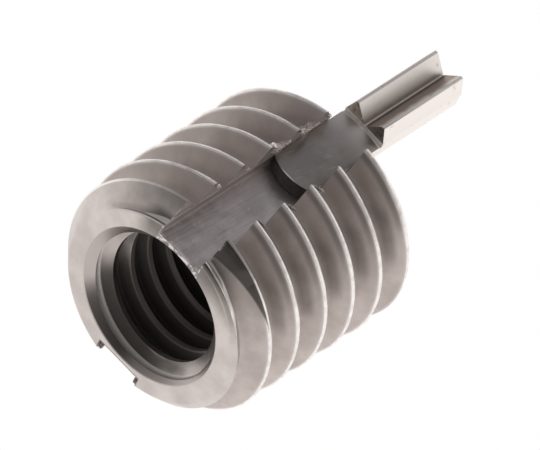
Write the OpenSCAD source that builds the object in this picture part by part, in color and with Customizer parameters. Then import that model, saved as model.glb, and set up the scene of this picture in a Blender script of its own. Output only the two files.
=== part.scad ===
// Key-locking threaded insert: a turned bush with a coarse thread outside and a finer
// thread inside, and two locking keys that are driven down its slots once it is screwed in.
// It stands on its plain lead-in end, keys upward, with the origin at the centre of that end.

/* [Body] */
// Length of the body
body_l = 7.45; // [6:0.05:12]
// Diameter over the crests of the outer thread
thread_d = 7.96; // [7.7:0.02:8.4]
// Pitch of the outer thread
thread_pitch = 1.25; // [1:0.05:1.5]
// Depth of the outer thread, crest to root
thread_depth = 0.75; // [0.4:0.05:0.8]
// Width of the flat along the crest of the outer thread
crest_flat = 0.15; // [0.08:0.01:0.25]
// Turn of the outer thread about the axis
thread_turn = 133; // [0:1:359]

/* [Ends] */
// Diameter of the flat ring at the lead-in end
lead_flat_d = 6.46; // [6.2:0.02:7]
// Slope of the lead-in cone, measured from the axis
lead_angle = 42; // [30:1:50]
// Width of the small chamfer round the key end
key_end_chamfer = 0.2; // [0.05:0.01:0.3]

/* [Bore] */
// Diameter of the bore, at the crests of the inner thread
bore_d = 4.2; // [3.8:0.05:4.4]
// Diameter of the countersinks at both ends
countersink_d = 5.3; // [4.8:0.02:5.4]
// Slope of the countersinks, measured from the axis
countersink_angle = 45; // [30:1:50]

/* [Slots] */
// Width of each slot
slot_w = 1.66; // [1.4:0.02:1.8]
// Distance from the axis to the floor of a slot
slot_floor = 2.78; // [2.74:0.01:3]
// Gap between a key and each wall of its slot
key_gap = 0.02; // [0.01:0.005:0.04]

/* [Keys] */
// Length of the head, most of which sits in the slot
head_l = 3.5; // [2.6:0.1:5]
// Distance that the head stands out past the key end of the body
head_over = 0.65; // [0.2:0.05:1.2]
// Distance from the axis to the outer face of the head
head_face = 3.35; // [3.2:0.01:3.6]
// Radius of the rounded nose of the head, seen from outside
nose_r = 1.2; // [1:0.05:3]
// Bevel along the outer end edge of the head
head_bevel = 0.15; // [0.04:0.01:0.2]
// Length of the stem beyond the head
stem_l = 3.6; // [2:0.05:5]
// Distance from the axis to the tips of the stem's two arms
arm_reach = 3.9; // [3.7:0.02:3.96]
// Width over the tips of the arms
arm_tip_w = 1.22; // [0.9:0.02:1.34]
// Depth of the groove between the arms
groove_depth = 0.55; // [0.2:0.05:0.8]
// Width of the flat on the tip of each arm
arm_land = 0.1; // [0.05:0.01:0.2]

/* [Hidden] */
STEEL = "#8f8883";
KEY_STEEL = "#6f6c69";
CUT_OVER = 0.5;
ROUND = 96;
SEGMENTS = 36;
FLANK_ANGLE = 30;

crest_r = thread_d / 2;
root_r = crest_r - thread_depth;
root_flat = thread_pitch - crest_flat - 2 * thread_depth * tan(FLANK_ANGLE);
CUTTER_OVER = 0.09;
cutter_r = crest_r + CUTTER_OVER;

lead_r = lead_flat_d / 2;
lead_l = (crest_r - lead_r) / tan(lead_angle);
bore_r = bore_d / 2;
countersink_r = countersink_d / 2;
countersink_l = (countersink_r - bore_r) / tan(countersink_angle);

key_w = slot_w - 2 * key_gap;
key_floor = slot_floor + key_gap;
head_end = body_l + head_over;
head_start = head_end - head_l;
stem_root = head_end - head_l / 2;
stem_end = head_end + stem_l;

// The body as a turned blank: its half section, spun about the axis.
module turned_blank() {
    rotate_extrude($fn = ROUND)
        polygon([
            [bore_r, countersink_l],
            [countersink_r, 0],
            [lead_r, 0],
            [crest_r, lead_l],
            [crest_r, body_l - key_end_chamfer],
            [crest_r - key_end_chamfer, body_l],
            [countersink_r, body_l],
            [bore_r, body_l - countersink_l],
        ]);
}

// One corner of the groove cutter: turn in degrees, radius and half width at that radius.
function groove_point(turn, r, half) =
    [r * cos(turn), r * sin(turn), thread_pitch * turn / 360 + half];

// The four corners of the groove's section at one turn.
function groove_section(turn) =
    let (inner = root_flat / 2, outer = inner + (cutter_r - root_r) * tan(FLANK_ANGLE))
    [
        groove_point(turn, root_r, -inner),
        groove_point(turn, cutter_r, -outer),
        groove_point(turn, cutter_r, outer),
        groove_point(turn, root_r, inner),
    ];

// The helical groove between two crests, from below the body to above it.
module thread_groove() {
    turns = ceil(body_l / thread_pitch) + 3;
    steps = turns * SEGMENTS;
    sections = [for (i = [0:steps]) groove_section(i * 360 / SEGMENTS)];
    sides = [
        for (i = [0:steps - 1], j = [0:3])
            let (a = 4 * i + j, b = 4 * i + (j + 1) % 4, c = a + 4, d = b + 4)
            each [[a, b, c], [b, d, c]]
    ];
    last = 4 * steps;
    rotate([0, 0, thread_turn])
        translate([0, 0, -1.5 * thread_pitch])
            polyhedron(
                points = [for (s = sections) each s],
                faces = concat(sides, [[3, 2, 1, 0]], [[last, last + 1, last + 2, last + 3]]));
}

// The two slots, opposite each other along X.
module slots() {
    for (side = [0, 180])
        rotate([0, 0, side])
            translate([slot_floor, -slot_w / 2, -CUT_OVER])
                cube([crest_r, slot_w, body_l + 2 * CUT_OVER]);
}

module insert_body() {
    color(STEEL)
        difference() {
            turned_blank();
            thread_groove();
            slots();
        }
}

// The head seen from outside, width along X, with its nose rounded.
module head_outline() {
    intersection() {
        translate([-key_w / 2, head_start])
            square([key_w, head_l]);
        union() {
            translate([0, head_start + nose_r])
                circle(nose_r, $fn = ROUND);
            translate([-key_w, head_start + nose_r])
                square([2 * key_w, head_l]);
        }
    }
}

// The head seen from the side: distance from the axis along X, height along Y.
module head_side() {
    polygon([
        [key_floor, head_start],
        [head_face, head_start],
        [head_face, head_end - head_bevel],
        [head_face - head_bevel, head_end],
        [key_floor, head_end],
    ]);
}

// The head: its side view and its front view cut from one bar, with the outer face
// rounded about the axis so that it turns clear inside the tapped hole.
module key_head() {
    intersection() {
        rotate([90, 0, 0])
            linear_extrude(slot_w, center = true) head_side();
        rotate([90, 0, 90])
            linear_extrude(crest_r) head_outline();
        cylinder(r = head_face, h = stem_end, $fn = ROUND);
    }
}

// The stem's section: as wide as the head up to the head's outer face, then two pointed
// arms with a groove between them, which cut into the hole's thread when the key is driven.
module stem_outline() {
    polygon([
        [key_floor, -key_w / 2],
        [head_face, -key_w / 2],
        [arm_reach, -arm_tip_w / 2],
        [arm_reach, -arm_tip_w / 2 + arm_land],
        [arm_reach - groove_depth, 0],
        [arm_reach, arm_tip_w / 2 - arm_land],
        [arm_reach, arm_tip_w / 2],
        [head_face, key_w / 2],
        [key_floor, key_w / 2],
    ]);
}

// The stem. Its root runs down inside the head, so that the two are one piece, and the
// arms start at the end of the head.
module key_stem() {
    difference() {
        translate([0, 0, stem_root])
            linear_extrude(stem_end - stem_root) stem_outline();
        translate([head_face - head_bevel, -slot_w / 2, head_start])
            cube([crest_r, slot_w, head_l]);
    }
}

module locking_key() {
    color(KEY_STEEL) {
        key_head();
        key_stem();
    }
}

module locking_key_a() { locking_key(); }

module locking_key_b() { rotate([0, 0, 180]) locking_key(); }

insert_body();
locking_key_a();
locking_key_b();
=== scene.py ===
"""Looks of a key-locking threaded insert: a turned bush and two locking keys, dressed over
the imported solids. Sizes are modelled in millimetres and finished in metres."""

import math

import bmesh
import bpy
from bpy.props import FloatProperty, FloatVectorProperty, PointerProperty
from mathutils import Matrix, Vector, noise


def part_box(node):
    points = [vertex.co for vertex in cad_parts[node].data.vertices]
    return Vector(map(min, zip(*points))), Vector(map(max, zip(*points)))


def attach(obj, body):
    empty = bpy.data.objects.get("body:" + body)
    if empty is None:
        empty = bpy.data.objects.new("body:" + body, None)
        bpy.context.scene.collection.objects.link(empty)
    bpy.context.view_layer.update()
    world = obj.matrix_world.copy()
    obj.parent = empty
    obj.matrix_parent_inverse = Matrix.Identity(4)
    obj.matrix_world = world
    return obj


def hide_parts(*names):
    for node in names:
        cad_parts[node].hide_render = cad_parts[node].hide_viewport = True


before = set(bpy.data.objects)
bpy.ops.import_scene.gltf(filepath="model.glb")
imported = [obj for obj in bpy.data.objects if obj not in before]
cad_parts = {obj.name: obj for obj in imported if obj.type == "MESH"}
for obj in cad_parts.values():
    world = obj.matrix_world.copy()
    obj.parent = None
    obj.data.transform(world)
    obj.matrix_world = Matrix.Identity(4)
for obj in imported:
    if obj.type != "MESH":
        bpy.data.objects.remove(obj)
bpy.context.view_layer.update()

bl_info = {
    "name": "Key-Locking Threaded Insert",
    "version": (1, 0, 0),
    "blender": (4, 5, 0),
    "location": "View3D > Sidebar > Insert",
    "description": "Builds the bush, its locking keys and their finishes",
    "category": "Object",
}

MM = 0.001

BODY_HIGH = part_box("insert_body")[1] / MM
KEY_LOW, KEY_HIGH = (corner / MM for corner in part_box("locking_key_a"))
KEY_GAP = 0.02
KEY_SPARE = 0.015

BODY_L = BODY_HIGH.z
CREST_R = BODY_HIGH.y
SLOT_W = KEY_HIGH.y - KEY_LOW.y + 2 * KEY_GAP
SLOT_FLOOR = KEY_LOW.x - KEY_GAP
KEY_W = KEY_HIGH.y - KEY_LOW.y

FLANK = math.radians(30)
ROUND = 192
OUTER_STEPS = 120
INNER_STEPS = 80
CREST_STEPS = 20
LIP_STEPS = 60
NOSE_STEPS = 8
SHARP = math.radians(32)
KEY_SHARP = math.radians(20)
NOISE_SEED = 11
DOUBLE = 1e-5
CLEAR = 1.0

AIM = Vector((2.578, 0.748, 3.428)) * MM
WHITE = (1.0, 1.0, 1.0)
PALE = (0.86, 0.86, 0.86)


def length(label, description, default_mm):
    """A length property whose default is given in millimetres."""
    return FloatProperty(name=label, description=description, default=default_mm * MM,
                         min=0.0, precision=5, unit="LENGTH")


def turn(label, description, degrees):
    """An angle property whose default is given in degrees."""
    return FloatProperty(name=label, description=description,
                         default=math.radians(degrees), unit="ROTATION")


def tint(label, description, colour):
    """A colour property."""
    return FloatVectorProperty(name=label, description=description, default=colour,
                               size=3, min=0.0, max=1.0, subtype="COLOR")


class InsertThreadSizes(bpy.types.PropertyGroup):
    """Sizes of the turned body and its two threads."""
    pitch: length("Outer pitch", "Pitch of the outer thread", 1.25)
    depth: length("Outer depth", "Depth of the outer thread, crest to root", 0.75)
    crest: length("Outer crest", "Width along the crest of the outer thread", 0.12)
    crest_break: length("Crest edge break", "Height of the worn edge on each crest", 0.05)
    root_round: length("Root rounding", "Distance that the root's corners are rounded back", 0.19)
    thread_turn: turn("Outer turn", "Turn of the outer thread about the axis", 133.0)
    lead_r: length("Lead-in radius", "Outer radius of the flat ring at the plain end", 3.23)
    lead_angle: turn("Lead-in slope", "Slope of the lead-in cone from the axis", 42.0)
    end_chamfer: length("Key end chamfer", "Width of the chamfer round the key end", 0.2)
    countersink_r: length("Countersink radius", "Radius of the countersinks", 2.65)
    bore_r: length("Bore radius", "Radius over the crests of the inner thread", 2.1)
    inner_pitch: length("Inner pitch", "Pitch of the inner thread", 0.8)
    inner_root_r: length("Inner root radius", "Radius over the roots of the inner thread", 2.5)
    inner_crest: length("Inner crest", "Width along the crest of the inner thread", 0.16)
    inner_turn: turn("Inner turn", "Turn of the inner thread about the axis", 226.0)
    edge_round: length("Edge rounding", "Rounding of the turned edges", 0.04)
    lip_r: length("Lip radius", "Radius of the lip thrown up by the thread's start", 2.9)
    lip_offset: length("Lip offset", "How far the lip lies off centre", 0.5)
    lip_turn: turn("Lip turn", "Where the lip stands highest, about the axis", 22.0)
    unevenness: length("Unevenness", "How far the cut thread wanders", 0.01)


class InsertKeySizes(bpy.types.PropertyGroup):
    """Sizes of the two locking keys."""
    head_face: length("Head face", "Distance from the axis to the head's outer face", 3.35)
    head_end: length("Head end", "Height of the head's end over the plain end", 8.1)
    head_bevel: length("Head bevel", "Bevel along the outer end edge of the head", 0.15)
    nose_r: length("Nose radius", "Radius of the rounded nose of the head", 1.2)
    arm_tip_w: length("Arm tips", "Width over the tips of the two arms", 1.22)
    arm_land: length("Arm land", "Width of the flat on the tip of each arm", 0.1)
    groove_depth: length("Groove depth", "Depth of the groove between the arms", 0.55)
    edge_break: length("Edge break", "Rounding of the key's edges", 0.025)


class InsertFinishes(bpy.types.PropertyGroup):
    """Colours of the bare metal, and of its painted shade and painted highlights."""
    steel: tint("Turned steel", "Colour of the turned surfaces", (0.68, 0.64, 0.61))
    steel_dark: tint("Turned steel, dull", "Duller patches in the turned surfaces",
                     (0.54, 0.50, 0.48))
    thread: tint("Thread steel", "Colour of the outer thread's flanks", (0.73, 0.66, 0.63))
    thread_dark: tint("Thread steel, dull", "Duller patches, and painted shade, on the flanks",
                      (0.50, 0.445, 0.42))
    # painted highlight: this light colour also stands for light caught on ridges, edges and rims
    crest: tint("Crest steel", "Colour of the worn crests and of the painted highlights", (0.97, 0.95, 0.93))
    slot: tint("Milled steel", "Colour of the milled slots", (0.70, 0.66, 0.655))
    slot_dark: tint("Milled steel, dull", "Colour between the slot's scratches",
                    (0.44, 0.41, 0.405))
    bore: tint("Bore steel", "Colour of the inner thread at its mouths", (0.50, 0.46, 0.44))
    key: tint("Key steel", "Colour of the key heads", (0.44, 0.42, 0.40))
    key_dark: tint("Key steel, dull", "Duller patches on the key heads",
                   (0.30, 0.285, 0.27))
    shear: tint("Sheared steel", "Colour of the keys' sheared shoulders", (0.76, 0.70, 0.64))
    stem: tint("Stem steel", "Colour of the keys' pale stems", (0.98, 0.94, 0.90))
    stain: tint("Stem stain", "Colour of the stain in the stems' grooves",
                (0.37, 0.31, 0.26))
    # painted shade: this dark colour also stands for the shade in recesses and on shaded faces
    soot_and_shade: tint("Recess grime", "Colour of the oil and dirt, and of the painted shade, in the recesses", (0.07, 0.062, 0.055))
    # painted shade: the lighter patches within the painted shade on the keys' noses
    shade_patch: tint("Nose film", "Colour of the lighter patches on the keys' noses", (0.30, 0.27, 0.265))


class InsertStageSettings(bpy.types.PropertyGroup):
    """The camera, the floor and the light."""
    lens: FloatProperty(name="Lens", description="Focal length in millimetres",
                        default=1119.5, min=50.0)
    distance: length("Distance", "Distance from the camera to the aim point", 500.0)
    azimuth: turn("Azimuth", "Turn of the camera round the axis", 107.75)
    elevation: turn("Elevation", "Angle of the camera over the floor", -38.06)
    roll: turn("Roll", "Turn of the camera about its own view", 57.02)
    bright: FloatProperty(name="Bright side", description="Radiance of the white surround",
                          default=1.0, min=0.0)
    dim: FloatProperty(name="Dim side", description="Radiance of the surround's dim edge",
                       default=0.40, min=0.0)
    dark: FloatProperty(name="Open side", description="Radiance of the surround's open side",
                        default=0.16, min=0.0)


def mm(metres):
    """A property's metres as millimetres."""
    return metres / MM


# ---------------------------------------------------------------- meshes

def section(points, rounds=()):
    """A bmesh of one closed section in the XZ plane, with some corners rounded.

    points are (radius, height); rounds are (corner number, distance, segments)."""
    bm = bmesh.new()
    corners = [bm.verts.new((radius, 0.0, height)) for radius, height in points]
    bm.faces.new(corners)
    for number, distance, segments in rounds:
        bmesh.ops.bevel(bm, geom=[corners[number]], affect="VERTICES", offset=distance,
                        segments=segments, profile=0.5, material=-1)
    return bm


def open_section(bm):
    """Drops the section's face and keeps its edges."""
    bmesh.ops.delete(bm, geom=bm.faces[:], context="FACES_ONLY")
    return bm


def close_and_orient(bm):
    """Merges doubles, fills open ends and points the faces outwards."""
    bmesh.ops.remove_doubles(bm, verts=bm.verts[:], dist=DOUBLE)
    rim = [edge for edge in bm.edges if edge.is_boundary]
    if rim:
        bmesh.ops.holes_fill(bm, edges=rim, sides=0)
    bmesh.ops.recalc_face_normals(bm, faces=bm.faces[:])


def turned(points, rounds=(), steps=ROUND):
    """A section turned about the axis into a closed ring."""
    bm = open_section(section(points, rounds))
    bmesh.ops.spin(bm, geom=bm.verts[:] + bm.edges[:], cent=(0, 0, 0), axis=(0, 0, 1),
                   angle=math.tau, steps=steps, use_merge=True)
    close_and_orient(bm)
    return bm


def helix(points, rounds, pitch, turns, steps, start_turn, start_height):
    """A section swept along a right-hand helix, closed at both ends."""
    bm = open_section(section(points, rounds))
    bmesh.ops.spin(bm, geom=bm.verts[:] + bm.edges[:], cent=(0, 0, 0), axis=(0, 0, 1),
                   dvec=(0, 0, pitch / steps), angle=math.tau * turns, steps=steps * turns)
    close_and_orient(bm)
    place = Matrix.Translation((0, 0, start_height)) @ Matrix.Rotation(start_turn, 4, "Z")
    bmesh.ops.transform(bm, matrix=place, verts=bm.verts[:])
    return bm


def block(low, high):
    """A box between two corners."""
    bm = bmesh.new()
    bmesh.ops.create_cube(bm, size=1.0)
    low, high = Vector(low), Vector(high)
    place = Matrix.Translation((low + high) / 2) @ Matrix.Diagonal((*(high - low), 1.0))
    bmesh.ops.transform(bm, matrix=place, verts=bm.verts[:])
    return bm


def extruded(points, lift):
    """A flat outline, given as 3-D points, extruded by a vector into a closed solid."""
    bm = bmesh.new()
    face = bm.faces.new([bm.verts.new(point) for point in points])
    wall = bmesh.ops.extrude_face_region(bm, geom=[face], use_keep_orig=True)
    moved = [item for item in wall["geom"] if isinstance(item, bmesh.types.BMVert)]
    bmesh.ops.translate(bm, verts=moved, vec=lift)
    bmesh.ops.recalc_face_normals(bm, faces=bm.faces[:])
    return bm


def lump(bm, spot, size, lean):
    """Adds one small rough lump of metal at a (radius, angle, height) about the axis.

    size is its half-size outwards, sideways and along; lean tips it about the radius."""
    roughness, coarse, fine, fine_share = 0.8, 1.3, 3.2, 0.3
    radius, angle, height = spot
    made = bmesh.ops.create_icosphere(bm, subdivisions=3, radius=1.0)
    shift = Vector((height, 3 * angle, radius)) * 5.0
    for vert in made["verts"]:
        rough = noise.noise(vert.co * coarse + shift)
        rough += fine_share * noise.noise(vert.co * fine + shift)
        vert.co *= 1.0 + roughness * rough
    place = (Matrix.Rotation(angle, 4, "Z") @ Matrix.Translation((radius, 0, height))
             @ Matrix.Rotation(lean, 4, "X") @ Matrix.Diagonal((*size, 1.0)))
    bmesh.ops.transform(bm, matrix=place, verts=made["verts"])


def wander(bm, amount, grain, seed):
    """Moves the vertices a little, by smooth noise, as a cutting tool wanders."""
    shift = Vector((seed, 2 * seed, 3 * seed))
    noise.seed_set(NOISE_SEED)
    for vert in bm.verts:
        vert.co += amount * noise.noise_vector(vert.co / grain + shift)


def mesh_object(name, bm):
    """A linked object from a bmesh, which is freed."""
    mesh = bpy.data.meshes.new(name)
    bm.to_mesh(mesh)
    bm.free()
    obj = bpy.data.objects.new(name, mesh)
    bpy.context.scene.collection.objects.link(obj)
    return obj


def discard(obj):
    """Removes an object and its mesh."""
    mesh = obj.data
    bpy.data.objects.remove(obj)
    bpy.data.meshes.remove(mesh)


def carve(target, tool_bm, operation="DIFFERENCE"):
    """Applies one boolean to an object with a bmesh as the tool."""
    tool = mesh_object("tool", tool_bm)
    step = target.modifiers.new("carve", "BOOLEAN")
    step.object = tool
    step.operation = operation
    step.solver = "MANIFOLD"
    view_layer = bpy.context.evaluated_depsgraph_get()
    result = bpy.data.meshes.new_from_object(target.evaluated_get(view_layer))
    old = target.data
    target.modifiers.clear()
    target.data = result
    discard(tool)
    bpy.data.meshes.remove(old)
    if len(result.polygons) == 0:
        raise RuntimeError("a cut left nothing of " + target.name)


def finish_mesh(obj, sharp=SHARP):
    """Brings a piece modelled in millimetres to metres, smooth with its sharp edges kept."""
    obj.data.transform(Matrix.Scale(MM, 4))
    obj.data.shade_smooth()
    obj.data.set_sharp_from_angle(angle=sharp)
    obj.data.update()
    even = obj.modifiers.new("even_shading", "WEIGHTED_NORMAL")
    even.keep_sharp = True


def coat(obj, *materials):
    """Gives a piece its materials, in the order of their numbers."""
    obj.data.materials.clear()
    for material in materials:
        obj.data.materials.append(material)


# ---------------------------------------------------------------- shader maths

class Value:
    """A shader socket with arithmetic."""

    def __init__(self, tree, socket):
        self.tree = tree
        self.socket = socket

    def math(self, operation, *others):
        """Adds one Math node that takes this socket first."""
        node = self.tree.nodes.new("ShaderNodeMath")
        node.operation = operation
        for slot, item in zip(node.inputs, (self, *others)):
            if isinstance(item, Value):
                self.tree.links.new(item.socket, slot)
            else:
                slot.default_value = item
        return Value(self.tree, node.outputs[0])

    def __add__(self, other):
        return self.math("ADD", other)

    def __sub__(self, other):
        return self.math("SUBTRACT", other)

    def __rsub__(self, other):
        return self.math("MULTIPLY_ADD", -1.0, other)

    def __mul__(self, other):
        return self.math("MULTIPLY", other)

    def __truediv__(self, other):
        return self.math("DIVIDE", other)

    def __pow__(self, other):
        return self.math("POWER", other)

    def __neg__(self):
        return self.math("MULTIPLY", -1.0)

    __radd__ = __add__
    __rmul__ = __mul__

    def abs(self):
        """The size without its sign."""
        return self.math("ABSOLUTE")

    def least(self, other):
        """The lesser of two."""
        return self.math("MINIMUM", other)

    def most(self, other):
        """The greater of two."""
        return self.math("MAXIMUM", other)


class Nodes:
    """A node tree under construction."""

    def __init__(self, tree):
        self.tree = tree

    def node(self, kind, settings=None, output=0, **sockets):
        """Adds a node, sets its settings, then its sockets, and returns one output."""
        node = self.tree.nodes.new(kind)
        for key, item in (settings or {}).items():
            setattr(node, key, item)
        for key, item in sockets.items():
            slot = node.inputs[key.replace("_", " ")]
            if isinstance(item, Value):
                self.tree.links.new(item.socket, slot)
            else:
                slot.default_value = item
        return Value(self.tree, node.outputs[output])

    def ramp(self, item, low, high):
        """0 under low, 1 over high and smooth between."""
        return self.node("ShaderNodeMapRange", {"interpolation_type": "SMOOTHSTEP"},
                         Value=item, From_Min=low, From_Max=high)

    def fall(self, item, low, high):
        """1 under low, 0 over high and smooth between."""
        return 1.0 - self.ramp(item, low, high)

    def window(self, item, low, full, full_end, high):
        """1 between full and full_end, 0 outside low and high, and smooth between."""
        return self.ramp(item, low, full) * self.fall(item, full_end, high)

    def mix(self, factor, first, second):
        """A colour mixed from two colours."""
        node = self.tree.nodes.new("ShaderNodeMix")
        node.data_type = "RGBA"
        for number, item in ((0, factor), (6, first), (7, second)):
            if isinstance(item, Value):
                self.tree.links.new(item.socket, node.inputs[number])
            elif number:
                node.inputs[number].default_value = (*item, 1.0)
            else:
                node.inputs[number].default_value = item
        return Value(self.tree, node.outputs[2])


class Finish(Nodes):
    """One material under construction."""

    def __init__(self, name):
        self.material = bpy.data.materials.new(name)
        self.material.use_nodes = True
        super().__init__(self.material.node_tree)
        self.shader = self.tree.nodes["Principled BSDF"]
        self.place = self.node("ShaderNodeTexCoord", output="Object")

    def axes(self):
        """X, Y and Z of the object's own place, in millimetres."""
        split = self.node("ShaderNodeSeparateXYZ", Vector=self.place)
        outs = split.socket.node.outputs
        return [Value(self.tree, out) * (1 / MM) for out in outs]

    def noise(self, scale, detail=3.0, roughness=0.6, place=None):
        """Noise from 0 to 1, with its scale in cells a metre."""
        return self.node("ShaderNodeTexNoise", Vector=place or self.place, Scale=scale,
                         Detail=detail, Roughness=roughness)

    def patches(self, scale, low, high, detail=3.0, roughness=0.6):
        """Patches of noise: 0 where it is under low, 1 where it is over high."""
        return self.ramp(self.noise(scale, detail, roughness), low, high)

    def lines(self, scale, lean=0.0, detail=3.0, roughness=0.6):
        """Noise with its own scale along each axis, in cells a metre, leant about X."""
        leant = self.node("ShaderNodeMapping", {"vector_type": "POINT"},
                          Vector=self.place, Rotation=(lean, 0.0, 0.0))
        place = self.node("ShaderNodeMapping", {"vector_type": "POINT"},
                          Vector=leant, Scale=scale)
        return self.noise(1.0, detail, roughness, place)

    def bump(self, height, strength, distance, normal=None):
        """A bump from a height in units of its distance."""
        sockets = {"Height": height, "Strength": strength, "Distance": distance}
        if normal:
            sockets["Normal"] = normal
        return self.node("ShaderNodeBump", **sockets)

    def surface(self, colour, roughness, normal=None, metallic=1.0):
        """Joins the finish to the shader."""
        for name, item in (("Base Color", colour), ("Roughness", roughness),
                           ("Metallic", metallic), ("Normal", normal)):
            if isinstance(item, Value):
                self.tree.links.new(item.socket, self.shader.inputs[name])
            elif item is not None:
                if name == "Base Color":
                    item = (*item, 1.0)
                self.shader.inputs[name].default_value = item
        return self.material


class BodyFinish(Finish):
    """The turned body's finish, with masks for its parts, painted shade and highlights; places in
    millimetres.
    """

    def __init__(self, sizes):
        super().__init__("turned_steel")
        self.sizes = sizes
        self.x, self.y, self.z = self.axes()
        self.radius = (self.x * self.x + self.y * self.y) ** 0.5
        cone = self.z * math.tan(sizes.lead_angle) + mm(sizes.lead_r)
        chamfer = (CREST_R + BODY_L - mm(sizes.end_chamfer)) - self.z
        self.depth = cone.least(chamfer).least(CREST_R) - self.radius
        risen = (self.y.math("ARCTAN2", self.x) - sizes.thread_turn) * (mm(sizes.pitch) / math.tau)
        self.below = risen + mm(sizes.pitch) - self.z
        self.speckle = self.noise(4600.0, roughness=0.7)

    def cut(self):
        """The cut thread, away from the blank's own skin and both end faces."""
        inside = self.z.least(BODY_L - self.z)
        return self.ramp(self.depth, 0.05, 0.11) * self.ramp(inside, 0.04, 0.14)

    def worn_crest_highlights(self):
        """The crests' lands, worn bright but unevenly, and lighter still as a painted highlight."""
        chatter = self.patches(3400.0, 0.35, 0.6)
        return self.ramp(self.radius, CREST_R - 0.055, CREST_R - 0.03) * (0.6 + chatter * 0.4)

    def shaded_crest_sides(self):
        """Painted shade on the flanks close to the crests, but not on the +Y side."""
        return self.ramp(self.radius, CREST_R - 0.45, CREST_R - 0.12) * self.fall(self.y, 2.8, 3.3)

    def shaded_flanks(self, bare):
        """Painted shade on the flanks between the +X slot and the +Y side: their tops, then their
        roots.
        """
        tops = self.ramp(self.radius, CREST_R - 0.30, CREST_R - 0.16) * bare
        tops = tops * self.ramp(self.x, 1.9, 3.3)
        roots = self.fall(self.radius, CREST_R - 0.45, CREST_R - 0.22)
        roots = roots * self.window(self.x, 0.9, 1.6, 2.4, 3.0)
        area = self.ramp(self.y, 0.3, 0.8) * self.ramp(self.z, 1.3, 1.6)
        return area * (tops * 0.5).most(roots * 0.4)

    def first_turn_shade(self):
        """Two masks of painted shade under the first crest beside the +X slot: its dark wedge, and
        its dusk.
        """
        beside = self.ramp(self.y, 0.6, 0.8) * self.ramp(self.x, 0.5, 1.5)
        beside = beside * self.ramp(self.below, 0.03, 0.06)
        wedge = self.ramp(0.52 - self.below - self.y * 0.14, -0.02, 0.02)
        return wedge * beside, beside * self.fall(self.y, 0.9, 2.3)

    def lip_foot_shade(self):
        """Painted shade in the thread's start on the -Y side of the +X slot, cut into the end's
        corner.
        """
        start = self.ramp(self.depth, 0.012, 0.05) * self.fall(self.z, 0.30, 0.45)
        return start * self.ramp(self.x, 1.7, 2.9) * self.ramp(self.y, -1.9, -1.2)

    def lip_ridge_highlight(self):
        """A painted highlight on the top of the lip that the thread's start threw up."""
        lip_x, lip_y = lip_centre(self.sizes)
        off_x = self.x - lip_x
        off_y = self.y - lip_y
        aside = (off_x * off_x + off_y * off_y) ** 0.5 - (mm(self.sizes.lip_r) - 0.01)
        ridge = self.fall(aside.abs(), 0.05, 0.08) * self.window(self.z, 0.11, 0.14, 0.28, 0.31)
        return ridge * self.ramp(self.depth, 0.005, 0.02)

    def cone_brim_highlight(self):
        """A painted highlight on the lead-in cone's upper edge, where the first groove runs off it.
        """
        slope, flank = math.tan(self.sizes.lead_angle), math.tan(FLANK)
        land = mm(self.sizes.crest) / 2 + (CREST_R - mm(self.sizes.lead_r)) * flank
        brink = (self.below + self.z + land) * (1 / (1 + slope * flank)) - 0.03
        brim = self.fall((brink - self.z).abs(), 0.02, 0.045) * self.fall(self.depth, 0.02, 0.04)
        return brim * self.fall(self.y, -0.3, 0.3) * self.window(self.z, 0.5, 0.6, 0.9, 1.0)

    def torn_rim_glints(self):
        """Painted glints: light specks along the +X slot's torn mouth."""
        rim = self.fall(self.y.abs(), SLOT_W / 2 + 0.02, SLOT_W / 2 + 0.07)
        rim = rim * self.fall(self.z, 0.7, 0.9) * self.ramp(self.x, 0.0, 1.0)
        return rim * self.ramp(self.speckle, 0.46, 0.56)

    def shaded_mouth(self):
        """Painted shade in the corners of the -X slot's mouth."""
        mouth = self.ramp(-self.x, 2.7, 2.8) * self.fall(self.z, 0.25, 0.35)
        return mouth * self.fall(self.y.abs(), SLOT_W / 2 + 0.01, SLOT_W / 2 + 0.05)


def turned_steel(sizes, colours):
    """Turned steel, bright on its skin, dull and blotched in the thread; painted shade and
    highlights.
    """
    finish = BodyFinish(sizes)
    cut, worn = finish.cut(), finish.worn_crest_highlights()
    bare = 1.0 - worn
    blotch = finish.patches(900.0, 0.35, 0.68, detail=4.0)
    cloud = finish.patches(520.0, 0.34, 0.66, detail=4.0, roughness=0.62)
    fleck = finish.ramp(finish.speckle, 0.60, 0.74)
    grain = finish.lines((1500.0, 1500.0, 16000.0))

    skin = finish.mix(0.1 + blotch * 0.8, colours.steel_dark, colours.steel)
    # wear and painted highlight: the crests' lands mixed to the light crest colour
    skin = finish.mix(worn, skin, colours.crest)
    thread = finish.mix(0.15 + cloud * 0.7, colours.thread_dark, colours.thread)
    base = finish.mix(cut, skin, thread)
    base = finish.mix(fleck * 0.35, base, colours.thread_dark)
    # painted shade: the flanks close to the crests darkened
    base = finish.mix(finish.shaded_crest_sides() * bare * cut * 0.45, base, colours.thread_dark)
    wedge, dusk = finish.first_turn_shade()
    # painted shade: the first turn's wedge and dusk, the lip's foot and the shaded flanks
    painted_shade = (dusk * 0.5).most(finish.lip_foot_shade() * 0.75).most(wedge * 0.9)
    base = finish.mix(painted_shade.most(finish.shaded_flanks(bare) * cut), base, colours.soot_and_shade)
    # painted shade in the corners of the -X slot's mouth
    base = finish.mix(finish.shaded_mouth() * 0.85, base, colours.soot_and_shade)
    # painted highlights on the lip's ridge and the cone's brim, and painted glints along the torn
    # rim
    bright = (finish.lip_ridge_highlight().most(finish.cone_brim_highlight()) * 0.9).most(finish.torn_rim_glints() * 0.6)
    base = finish.mix(bright, base, colours.crest)
    lined = finish.bump(grain, 0.35, 0.000006)
    dented = finish.bump(finish.noise(2600.0, detail=4.0), 0.5, 0.00002, lined)
    dull = cut * bare
    return finish.surface(base, 0.26 + dull * 0.16 + grain * 0.10, dented, 1.0 - dull * 0.45)


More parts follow.
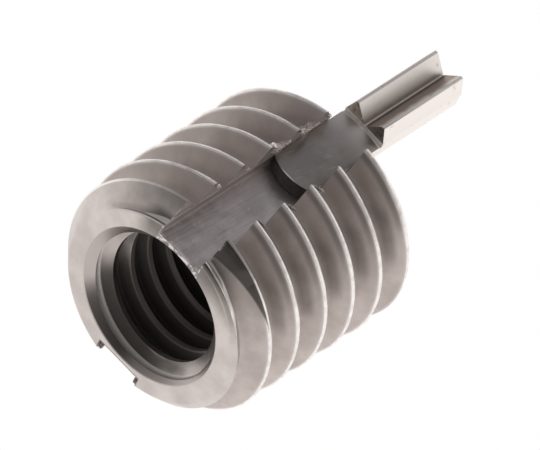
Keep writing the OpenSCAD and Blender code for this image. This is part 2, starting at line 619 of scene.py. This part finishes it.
def bore_steel(sizes, colours):
    """The inner thread: bare at its mouths; oil and painted shade deeper in, painted shadow down
    one side.
    """
    shadow_side = math.radians(205)
    bore_r, root_r = mm(sizes.bore_r), mm(sizes.inner_root_r)
    finish = Finish("bore_steel")
    x, y, z = finish.axes()
    radius = (x * x + y * y) ** 0.5
    depth = z.least(BODY_L - z)
    smear = finish.lines((1800.0, 1800.0, 6000.0), roughness=0.55)
    # painted shade: darker on the -X side, deeper into the bore
    shaded_side = finish.ramp(-x, 0.5, 1.9) * 1.2
    # oil and painted shade: darker deeper in the bore
    oil_and_shade = finish.ramp(depth + smear * 0.7 + shaded_side * finish.ramp(depth, 0.05, 0.45), 0.9, 2.7)
    base = finish.mix(oil_and_shade, colours.bore, colours.soot_and_shade)
    worn = finish.fall(radius, bore_r + 0.02, bore_r + 0.07)
    base = finish.mix(worn * 0.35, base, colours.bore)
    toward = (x * math.cos(shadow_side) + y * math.sin(shadow_side)) / radius
    cut = finish.ramp(radius + z - mm(sizes.countersink_r), 0.03, 0.06)
    # painted shadow down the side that lies at 205 degrees about the axis
    painted_shadow = finish.ramp(toward, 0.78, 0.96) * 0.78
    painted_shadow = painted_shadow.most(finish.ramp(toward, 0.5, 0.85) * cut * 0.9)
    base = finish.mix(painted_shadow * finish.fall(z, 0.9, 1.4), base, colours.soot_and_shade)
    # wear and painted light: the thread's start at the countersink lightened over its root's shade
    start = finish.ramp(radius, root_r - 0.08, root_r - 0.04) * cut * finish.fall(z, 0.55, 0.75)
    base = finish.mix(start * 0.75, base, colours.crest)
    return finish.surface(base, 0.26 + smear * 0.12 + oil_and_shade * 0.16,
                          finish.bump(smear, 0.3, 0.00001), 1.0 - (oil_and_shade * 0.6).most(start * 0.8))


def milled_steel(colours):
    """The slots' floors: cool grey, with scratches lying mostly along the slot."""
    finish = Finish("milled_steel")
    _, y, z = finish.axes()
    along = finish.lines((900.0, 15000.0, 420.0), math.radians(3), 4.0, 0.65)
    across = finish.lines((900.0, 9000.0, 700.0), math.radians(-9))
    patch = finish.patches(1300.0, 0.36, 0.66)
    streak = finish.ramp(along * 0.7 + across * 0.3, 0.42, 0.60)
    fleck = finish.patches(5200.0, 0.64, 0.72, roughness=0.7)
    base = finish.mix(patch * 0.6 + streak * 0.4, colours.slot_dark, colours.slot)
    # painted light: the floor lighter further up the slot
    base = finish.mix(finish.ramp(z, 2.4, 4.4) * 0.4, base, colours.crest)
    # nicks and painted highlights: light specks along the floor's near end and its +Y edge
    side_edge = finish.ramp(y, 0.74, 0.82) * finish.fall(z, 0.9, 1.1)
    edge = finish.fall(z, 0.02, 0.16).most(side_edge)
    nicked = finish.patches(4400.0, 0.40, 0.55, roughness=0.7) * edge
    base = finish.mix((fleck * 0.4).most(nicked * 0.85), base, colours.crest)
    scratched = finish.bump(along, 0.4, 0.000012)
    scratched = finish.bump(across, 0.4, 0.000012, scratched)
    dented = finish.bump(finish.noise(3800.0, 4.0, 0.65), 0.6, 0.00002, scratched)
    return finish.surface(base, 0.34 + across * 0.12, dented)


def broached_steel(root_r, colours):
    """The slots' walls: tool lines along the slot, with painted highlights at the thread's root and
    the foot.
    """
    finish = Finish("broached_steel")
    out = finish.axes()[0].abs()
    line = finish.lines((15000.0, 900.0, 260.0))
    patch = finish.patches(1500.0, 0.35, 0.68)
    ragged = out + finish.noise(5000.0) * 0.06
    root = finish.fall((ragged - root_r - 0.03).abs(), 0.025, 0.05)
    bright = root.most(finish.fall(ragged - SLOT_FLOOR, 0.06, 0.09))
    base = finish.mix(finish.ramp(line, 0.38, 0.62), colours.thread_dark, colours.thread)
    base = finish.mix(patch * 0.3, base, colours.thread_dark)
    # painted highlights along the wall's top and foot
    base = finish.mix(bright * 0.85, base, colours.crest)
    raised = finish.bump(bright, 0.5, 0.00002, finish.bump(line, 0.6, 0.000014))
    return finish.surface(base, 0.42 + line * 0.1, raised, 0.6)


def key_steel(keys, colours):
    """The key heads: smooth and dark, with faint lines along their length, and lighter towards the
    ends.
    """
    head_end = mm(keys.head_end)
    finish = Finish("key_steel")
    z = finish.axes()[2]
    drawn = finish.lines((5200.0, 5200.0, 420.0))
    scratch = finish.lines((900.0, 12000.0, 900.0), math.radians(12))
    patch = finish.patches(1100.0, 0.35, 0.7)
    base = finish.mix(patch * 0.6 + drawn * 0.3, colours.key_dark, colours.key)
    base = finish.mix(finish.ramp(scratch, 0.62, 0.70) * 0.5, base, colours.steel)
    # lighter towards the head's end, and light on its end bevel
    base = finish.mix(finish.ramp(z, head_end - 1.5, head_end - 0.2) * 0.9, base, colours.steel)
    end = finish.ramp(z, head_end - mm(keys.head_bevel) - 0.01, head_end - 0.13)
    # painted highlight: the light rim along the nose's edge
    rim = finish.fall(z, KEY_LOW.z + 0.02, KEY_LOW.z + 0.07)
    base = finish.mix(end.most(rim), base, colours.crest)
    worked = finish.bump(scratch, 0.5, 0.00001, finish.bump(drawn, 0.35, 0.00001))
    return finish.surface(base, 0.34 + drawn * 0.10 + end * 0.1, worked, 1.0 - end * 0.8)


def stem_steel(colours):
    """The stems: pale, drawn along their length, with a brown stain and painted shade down the
    groove.
    """
    finish = Finish("stem_steel")
    y = finish.axes()[1]
    drawn = finish.lines((6000.0, 6000.0, 300.0))
    patch = finish.noise(1500.0, 4.0, 0.65)
    ragged = (patch - 0.5) * 0.35
    strip = finish.fall(y * -3.2 + ragged, 0.06, 0.6) * finish.ramp(-y, -0.05, 0.05)
    wall = finish.fall(y + ragged, 0.34, 0.56) * finish.ramp(y, -0.05, 0.05)
    shaded_pocket = finish.ramp(y, 0.02, 0.05) * finish.fall(y + patch * 0.1, 0.13, 0.24)
    crease = finish.fall(y.abs(), 0.02, 0.045)
    fleck = finish.patches(4200.0, 0.62, 0.72, roughness=0.65)
    base = finish.mix((strip * 0.6).most(wall * 0.95), colours.stem, colours.stain)
    base = finish.mix(fleck * 0.35, base, colours.stain)
    # painted shade in the groove beside its valley
    base = finish.mix(shaded_pocket * 0.8, base, colours.soot_and_shade)
    base = finish.mix(crease * 0.8, base, colours.stem)
    return finish.surface(base, 0.36 + drawn * 0.12, finish.bump(drawn, 0.4, 0.00001), 0.85)


def sheared_steel(keys, colours):
    """The keys' shoulders, torn off rough when the stem was formed, worn next to the head."""
    head_face = mm(keys.head_face)
    finish = Finish("sheared_steel")
    x, y, _ = finish.axes()
    worn = finish.fall(x.abs(), head_face, head_face + 0.03)
    torn = finish.noise(5200.0, 4.0, 0.7)
    # torn rough metal and painted shade: the dark colour in the torn pattern darkens the shaded
    # shoulders
    base = finish.mix(torn, colours.soot_and_shade, colours.shear)
    base = finish.mix(finish.ramp(torn, 0.3, 0.6), base, colours.shear)
    # painted shade: darker towards +Y
    base = finish.mix(finish.ramp(y, -0.1, 0.3) * 0.55, base, colours.soot_and_shade)
    base = finish.mix(worn, base, colours.crest)
    return finish.surface(base, 0.45 + torn * 0.15, finish.bump(torn, 0.7, 0.00003),
                          1.0 - worn * 0.8)


def painted_nose_shade(colours):
    """Painted shade on the front of the key's nose: a dark colour with lighter patches."""
    finish = Finish("painted_nose_shade")
    patch = finish.noise(3000.0)
    base = finish.mix(patch, colours.soot_and_shade, colours.shade_patch)
    return finish.surface(base, 0.42 + patch * 0.12, finish.bump(patch, 0.4, 0.00002))


# ---------------------------------------------------------------- pieces

def settings():
    """The scene's own settings."""
    scene = bpy.context.scene
    return scene.insert_threads, scene.insert_keys, scene.insert_finishes, scene.insert_stage


def lip_centre(sizes):
    """Where the centre of the lip's ring lies, off the axis."""
    aside = mm(sizes.lip_offset)
    return aside * math.cos(sizes.lip_turn), aside * math.sin(sizes.lip_turn)


def crest_height(sizes, angle, number):
    """Height of the outer thread's crest at an angle about the axis."""
    pitch = mm(sizes.pitch)
    return pitch * ((angle - sizes.thread_turn) / math.tau - 1.0 + number)


def blank_bm(sizes):
    """The body before its threads and slots are cut."""
    lead_r, countersink_r, bore_r = mm(sizes.lead_r), mm(sizes.countersink_r), mm(sizes.bore_r)
    lead_l = (CREST_R - lead_r) / math.tan(sizes.lead_angle)
    sink = countersink_r - bore_r
    chamfer, edge = mm(sizes.end_chamfer), mm(sizes.edge_round)
    crest_l = BODY_L - chamfer - lead_l
    points = [
        (bore_r, sink),
        (countersink_r, 0.0),
        (lead_r, 0.0),
        *[(CREST_R, lead_l + crest_l * step / CREST_STEPS) for step in range(CREST_STEPS + 1)],
        (CREST_R - chamfer, BODY_L),
        (countersink_r, BODY_L),
        (bore_r, BODY_L - sink),
    ]
    key_end = len(points) - 3
    rounds = [(1, edge, 3), (2, 2 * edge, 4), (3, 2 * edge, 4), (key_end, edge, 3),
              (key_end + 1, edge, 3)]
    bm = turned(points, rounds)
    skin = [vert for vert in bm.verts if vert.co.xy.length > CREST_R - 1e-4]
    shift, grain, deepest = Vector((2.0, 5.0, 1.0)), 0.35, 0.5 * mm(sizes.unevenness)
    for vert in skin:
        sunk = 0.5 + 0.5 * noise.noise(vert.co / grain + shift)
        vert.co.xy *= 1.0 - deepest * sunk / CREST_R
    return bm


def outer_groove_bm(sizes):
    """The groove of the outer thread: round root, straight flanks, worn crest edges.

    Each crest is worn back further on the side of the key end."""
    flank, worn_slope = math.tan(FLANK), math.tan(math.radians(60))
    pitch, depth, crest = mm(sizes.pitch), mm(sizes.depth), mm(sizes.crest)
    worn, over = mm(sizes.crest_break), 0.03
    nicked = 0.3 * worn
    root_r = CREST_R - depth
    root = pitch / 2 - crest / 2 - depth * flank
    worn_z = root + (depth - worn) * flank
    nicked_z = root + (depth - nicked) * flank
    mouth = -worn_z - worn * worn_slope
    points = [
        (root_r, -root), (CREST_R - worn, -worn_z), (CREST_R, mouth), (CREST_R + over, mouth),
        (CREST_R + over, nicked_z + nicked), (CREST_R, nicked_z + nicked),
        (CREST_R - nicked, nicked_z), (root_r, root),
    ]
    root_round, crest_round = mm(sizes.root_round), 0.5 * worn
    rounds = [(0, root_round, 5), (1, crest_round, 3), (7, root_round, 5)]
    turns = math.ceil(BODY_L / pitch) + 3
    bm = helix(points, rounds, pitch, turns, OUTER_STEPS, sizes.thread_turn, -1.5 * pitch)
    wander(bm, mm(sizes.unevenness), 0.8, 4.0)
    return bm


def inner_groove_bm(sizes):
    """The groove of the inner thread, cut outwards from the bore."""
    flank, over = math.tan(FLANK), 0.05
    pitch, bore_r, root_r = mm(sizes.inner_pitch), mm(sizes.bore_r), mm(sizes.inner_root_r)
    mouth = pitch / 2 - mm(sizes.inner_crest) / 2
    root = mouth - (root_r - bore_r) * flank
    inside = mouth + over * flank
    points = [
        (root_r, root), (root_r, -root), (bore_r - over, -inside), (bore_r - over, inside),
    ]
    rounds = [(corner, 0.8 * root, 3) for corner in (0, 1)]
    turns = math.ceil(BODY_L / pitch) + 3
    bm = helix(points, rounds, pitch, turns, INNER_STEPS, sizes.inner_turn, -1.5 * pitch)
    wander(bm, 0.4 * mm(sizes.unevenness), 0.6, 9.0)
    return bm


def lip_bm(sizes):
    """The lip thrown up beside the thread's start: an arc off centre, so that it fades out."""
    outer, reach = mm(sizes.lip_r), math.radians(55)
    inner = outer - 0.2
    bm = open_section(section([(inner, 0.08), (outer - 0.02, 0.15), (outer, 0.26),
                               (inner, 0.36)]))
    bmesh.ops.spin(bm, geom=bm.verts[:] + bm.edges[:], cent=(0, 0, 0), axis=(0, 0, 1),
                   angle=2 * reach, steps=LIP_STEPS)
    close_and_orient(bm)
    wander(bm, 2 * mm(sizes.unevenness), 0.4, 6.0)
    place = (Matrix.Translation((*lip_centre(sizes), 0.0))
             @ Matrix.Rotation(sizes.lip_turn - reach, 4, "Z"))
    bmesh.ops.transform(bm, matrix=place, verts=bm.verts[:])
    return bm


def left_tears(edge, tip, height):
    """The burr on a crest's end at the +Y edge and, before the keys, a tear on the flank."""
    tears = [((CREST_R - 0.05, edge + 0.006, tip), (0.04, 0.05, 0.06), 0.0)]
    if tip < KEY_LOW.z:
        tears.append(((CREST_R - 0.11, edge + 0.052, height), (0.045, 0.16, 0.04),
                      math.radians(24)))
    return tears


def pressed_metal(edge, tip, number):
    """Metal pressed out beside a key at the -Y edge, from one crest towards the next."""
    lumps = []
    for step in range(1, 7):
        ragged = noise.noise(Vector((number * 2.3, step * 1.9, 0.7)))
        height = tip + 0.15 * step + 0.08 * ragged
        if height <= BODY_L - 0.1:
            spot = (CREST_R - 0.12 - 0.055 * step, edge - 0.012 - 0.002 * step, height)
            size = (0.10 + 0.05 * ragged, 0.11 + 0.06 * ragged, 0.15 - 0.06 * ragged)
            lumps.append((spot, size, 0.9 * ragged))
    return lumps


def torn_edge(sizes, side):
    """The lumps of torn metal along one edge of the +X slot; side is -1 or 1.

    Each is a place, a half-size and a lean for lump()."""
    edge = side * math.asin(SLOT_W / 2 / CREST_R)
    lumps = []
    for number in range(1, 8):
        tip = crest_height(sizes, edge, number)
        if not 0.9 < tip < BODY_L - 0.2:
            continue
        torn = 0.05 * noise.noise(Vector((number * 1.7, side, 0.3)))
        if side > 0:
            lumps += left_tears(edge, tip, tip + 0.20 + torn)
            continue
        lumps.append(((CREST_R - 0.11, edge + 0.026, tip + 0.02 + torn),
                      (0.06, 0.085, 0.07), math.radians(4)))
        if KEY_LOW.z <= tip + 0.4 and tip <= BODY_L - 0.6:
            lumps += pressed_metal(edge, tip, number)
    return lumps


def mouth_burrs():
    """The burrs at both corners of the -X slot's mouth, as places, half-sizes and leans."""
    radius = SLOT_FLOOR + 0.32
    corner = math.asin((SLOT_W / 2 - 0.04) / radius)
    return [((radius, math.pi + side * corner, 0.13), (0.15, 0.10, 0.07), 0.3 * side)
            for side in (-1, 1)]


def key_path_bm(keys):
    """The room at +X that a driven key's head and arms pass through, with some to spare."""
    side, arm = KEY_W / 2 + KEY_SPARE, mm(keys.arm_tip_w) / 2 + KEY_SPARE
    far = CREST_R + CLEAR
    face, tip = mm(keys.head_face), KEY_HIGH.x
    outline = [(SLOT_FLOOR, -side), (face, -side), (tip, -arm), (far, -arm),
               (far, arm), (tip, arm), (face, side), (SLOT_FLOOR, side)]
    return extruded([(x, y, -CLEAR) for x, y in outline], (0, 0, BODY_L + 2 * CLEAR))


def heap_bm(lumps, keys):
    """Joins lumps of metal into one closed mesh that leaves a driven key its way."""
    heap = None
    for spot, size, lean in lumps:
        bm = bmesh.new()
        lump(bm, spot, size, lean)
        if heap is None:
            heap = mesh_object("heap", bm)
        else:
            carve(heap, bm, "UNION")
    carve(heap, key_path_bm(keys))
    bm = bmesh.new()
    bm.from_mesh(heap.data)
    discard(heap)
    return bm


def paint_body(obj, sizes):
    """Gives the slots and the bore their own finishes by where each face lies."""
    floor_finish, wall_finish, bore_finish = 1, 2, 3
    bore_edge = mm(sizes.countersink_r) - 0.03
    for face in obj.data.polygons:
        spot, facing = face.center / MM, face.normal
        radius = spot.xy.length
        in_slot = abs(spot.y) < SLOT_W / 2 + 0.002 and radius > SLOT_FLOOR - 0.01
        if in_slot and abs(facing.z) < 0.1:
            face.material_index = floor_finish if abs(facing.x) > 0.7 else wall_finish
        elif radius < bore_edge and abs(facing.z) < 0.95:
            face.material_index = bore_finish


class INSERT_OT_body(bpy.types.Operator):
    """Turn the body, cut both threads and mill its two slots"""
    bl_idname = "insert.body"
    bl_label = "Body"

    def execute(self, context):
        sizes, keys, colours, _ = settings()
        body = mesh_object("threaded_body", blank_bm(sizes))
        carve(body, outer_groove_bm(sizes))
        carve(body, inner_groove_bm(sizes))
        carve(body, lip_bm(sizes), "UNION")
        for side in (1, -1):
            near, far = sorted((side * SLOT_FLOOR, side * (CREST_R + CLEAR)))
            carve(body, block((near, -SLOT_W / 2, -CLEAR), (far, SLOT_W / 2, BODY_L + CLEAR)))
        torn = torn_edge(sizes, 1) + torn_edge(sizes, -1) + mouth_burrs()
        carve(body, heap_bm(torn, keys), "UNION")
        finish_mesh(body)
        coat(body, turned_steel(sizes, colours), milled_steel(colours),
             broached_steel(CREST_R - mm(sizes.depth), colours), bore_steel(sizes, colours))
        paint_body(body, sizes)
        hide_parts("insert_body")
        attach(body, "body")
        return {"FINISHED"}


def head_plan_bm(keys):
    """The head from the axis outwards, with its nose rounded in plan."""
    nose, half, end = mm(keys.nose_r), KEY_W / 2, mm(keys.head_end)
    reach = math.asin(half / nose)
    angles = [reach * step / NOSE_STEPS for step in range(-NOSE_STEPS, NOSE_STEPS + 1)]
    plan = [(0.0, nose * math.sin(angle), KEY_LOW.z + nose - nose * math.cos(angle))
            for angle in angles]
    plan += [(0.0, half, end), (0.0, -half, end)]
    return extruded(plan, (CREST_R, 0, 0))


def head_face_bm(keys):
    """The round about the axis that the head lies inside, with its end edge bevelled."""
    face, end, bevel = mm(keys.head_face), mm(keys.head_end), mm(keys.head_bevel)
    floor, low = KEY_LOW.x, KEY_LOW.z - CLEAR
    profile = [(floor, low), (face, low), (face, end - bevel),
               (face - 0.35 * bevel, end - 0.15 * bevel), (face - 0.8 * bevel, end),
               (floor, end)]
    return turned(profile, steps=ROUND * 2)


def stem_bm(keys):
    """The stem: two pointed arms with a groove between them, its root inside the head."""
    floor, tip, half = KEY_LOW.x, KEY_HIGH.x, KEY_W / 2
    face, end = mm(keys.head_face), mm(keys.head_end)
    arm, land = mm(keys.arm_tip_w) / 2, mm(keys.arm_land)
    valley = tip - mm(keys.groove_depth)
    outline = [
        (floor, -half), (face, -half), (tip, -arm), (tip, -arm + land), (valley, 0.0),
        (tip, arm - land), (tip, arm), (face, half), (floor, half),
    ]
    return extruded([(x, y, end) for x, y in outline], (0, 0, KEY_HIGH.z - end))


def break_edges(obj, keys):
    """Merges a key's flat faces and gives its sharp edges a small round."""
    bm = bmesh.new()
    bm.from_mesh(obj.data)
    bmesh.ops.remove_doubles(bm, verts=bm.verts[:], dist=1e-4)
    bmesh.ops.dissolve_limit(bm, angle_limit=math.radians(0.5), verts=bm.verts[:],
                             edges=bm.edges[:])
    sharp = [edge for edge in bm.edges
             if edge.is_manifold and edge.calc_face_angle() > math.radians(25)]
    bmesh.ops.bevel(bm, geom=sharp, affect="EDGES", offset=mm(keys.edge_break), segments=2,
                    profile=0.5, material=-1, clamp_overlap=True)
    bm.to_mesh(obj.data)
    bm.free()


def locking_key(name, keys, materials):
    """One locking key at +X, in millimetres."""
    key = mesh_object(name, head_plan_bm(keys))
    carve(key, head_face_bm(keys), "INTERSECT")
    behind_high = (KEY_LOW.x, KEY_W, mm(keys.head_end) + CLEAR)
    carve(key, block((0.0, -KEY_W, KEY_LOW.z - CLEAR), behind_high))
    carve(key, stem_bm(keys), "UNION")
    break_edges(key, keys)
    coat(key, *materials)
    return key


def paint_key(obj, keys):
    """Gives a key's stem, nose and sheared shoulders their own finishes; the nose's is painted
    shade.
    """
    stem_finish, shoulder_finish, nose_shade = 1, 2, 3
    end = mm(keys.head_end)
    for face in obj.data.polygons:
        spot, facing = face.center, face.normal
        nose = facing.z < -0.5 and spot.z < KEY_LOW.z + 0.5
        shoulder = facing.z < -0.7 and abs(spot.z - end) < 0.05
        if nose or shoulder:
            face.material_index = nose_shade if nose else shoulder_finish
        elif spot.z > end + 0.01:
            face.material_index = stem_finish


class INSERT_OT_keys(bpy.types.Operator):
    """Make the two locking keys, opposite each other"""
    bl_idname = "insert.keys"
    bl_label = "Locking keys"

    def execute(self, context):
        _, keys, colours, _ = settings()
        materials = (key_steel(keys, colours), stem_steel(colours), sheared_steel(keys, colours),
                     painted_nose_shade(colours))
        for letter, turn_angle in (("a", 0.0), ("b", math.pi)):
            key = locking_key("drawn_key_" + letter, keys, materials)
            paint_key(key, keys)
            key.data.transform(Matrix.Rotation(turn_angle, 4, "Z"))
            finish_mesh(key, KEY_SHARP)
            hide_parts("locking_key_" + letter)
            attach(key, "key_" + letter)
        return {"FINISHED"}


def surround(stage, back, above):
    """The white surround: dim above the part, and darkest on the open side behind the camera."""
    world = bpy.data.worlds.new("surround")
    bpy.context.scene.world = world
    world.use_nodes = True
    shade = Nodes(world.node_tree)
    direction = shade.node("ShaderNodeTexCoord", output="Generated")

    def along(axis):
        dot = shade.node("ShaderNodeVectorMath", {"operation": "DOT_PRODUCT"}, output="Value",
                         Vector=direction)
        dot.socket.node.inputs[1].default_value = axis
        return dot

    lifted = along(above)
    facing = along(back) + lifted * 0.6
    bright = [stage.bright * part for part in (1.0, 0.965, 0.95)]
    dim = [stage.dim * part for part in (1.0, 0.95, 0.93)]
    cool = [stage.dim * part for part in (0.93, 0.89, 0.93)]
    dark = [stage.dark * part for part in (1.0, 0.96, 0.93)]
    glow = shade.mix(shade.ramp(facing, -0.2, 0.5), bright, dim)
    glow = shade.mix(shade.ramp(facing, 0.4, 1.0), glow, dark)
    glow = shade.mix(shade.ramp(lifted, 0.66, 0.9), glow, cool)
    seen = shade.node("ShaderNodeLightPath", output="Is Camera Ray")
    colour = shade.mix(seen, glow, WHITE)
    shade.tree.links.new(colour.socket, shade.tree.nodes["Background"].inputs["Color"])


def floor_piece():
    """A pale floor, seen from above only, so that the view from under the part is clear."""
    bm = bmesh.new()
    bmesh.ops.create_grid(bm, x_segments=1, y_segments=1, size=1.0)
    bmesh.ops.translate(bm, verts=bm.verts[:], vec=(0, 0, -0.02 * MM))
    floor = mesh_object("floor", bm)
    finish = Finish("pale_floor")
    tree = finish.tree
    under = finish.node("ShaderNodeNewGeometry", output="Backfacing")
    clear = finish.node("ShaderNodeBsdfTransparent")
    both = finish.node("ShaderNodeMixShader")
    mixer = both.socket.node
    finish.surface(PALE, 0.9, metallic=0.0)
    tree.links.new(under.socket, mixer.inputs[0])
    tree.links.new(finish.shader.outputs[0], mixer.inputs[1])
    tree.links.new(clear.socket, mixer.inputs[2])
    tree.links.new(both.socket, tree.nodes["Material Output"].inputs["Surface"])
    floor.data.materials.append(finish.material)
    floor.visible_diffuse = False
    floor.visible_glossy = False
    floor.visible_transmission = False
    floor.visible_shadow = False


class INSERT_OT_stage(bpy.types.Operator):
    """Set the floor, the soft light and the camera"""
    bl_idname = "insert.stage"
    bl_label = "Stage"

    def execute(self, context):
        _, _, _, stage = settings()
        azimuth, elevation = stage.azimuth, stage.elevation
        back = Vector((math.sin(azimuth) * math.cos(elevation),
                       -math.cos(azimuth) * math.cos(elevation), math.sin(elevation)))
        camera = bpy.data.objects.new("camera", bpy.data.cameras.new("camera"))
        context.scene.collection.objects.link(camera)
        camera.data.lens = stage.lens
        camera.data.clip_start = 0.01
        camera.data.clip_end = 10.0
        level = (-back).to_track_quat("-Z", "Y").to_matrix().to_4x4()
        aimed = level @ Matrix.Rotation(stage.roll, 4, "Z")
        camera.matrix_world = Matrix.Translation(AIM + back * stage.distance) @ aimed
        context.scene.camera = camera
        surround(stage, back, aimed.to_3x3() @ Vector((0, 1, 0)))
        floor_piece()
        context.scene.view_settings.view_transform = "Standard"
        return {"FINISHED"}


class INSERT_PT_panel(bpy.types.Panel):
    """Lists the insert's pieces"""
    bl_idname = "INSERT_PT_panel"
    bl_label = "Threaded Insert"
    bl_space_type = "VIEW_3D"
    bl_region_type = "UI"
    bl_category = "Insert"

    def draw(self, context):
        for operator in OPERATORS:
            self.layout.operator(operator.bl_idname)


OPERATORS = (INSERT_OT_body, INSERT_OT_keys, INSERT_OT_stage)
GROUPS = {
    "insert_threads": InsertThreadSizes,
    "insert_keys": InsertKeySizes,
    "insert_finishes": InsertFinishes,
    "insert_stage": InsertStageSettings,
}


def register():
    for group in GROUPS.values():
        bpy.utils.register_class(group)
    for name, group in GROUPS.items():
        setattr(bpy.types.Scene, name, PointerProperty(type=group))
    for operator in OPERATORS:
        bpy.utils.register_class(operator)
    bpy.utils.register_class(INSERT_PT_panel)


def unregister():
    bpy.utils.unregister_class(INSERT_PT_panel)
    for operator in reversed(OPERATORS):
        bpy.utils.unregister_class(operator)
    for name, group in GROUPS.items():
        delattr(bpy.types.Scene, name)
        bpy.utils.unregister_class(group)


def main():
    register()
    bpy.ops.insert.body()
    bpy.ops.insert.keys()
    bpy.ops.insert.stage()


if __name__ == "__main__":
    main()
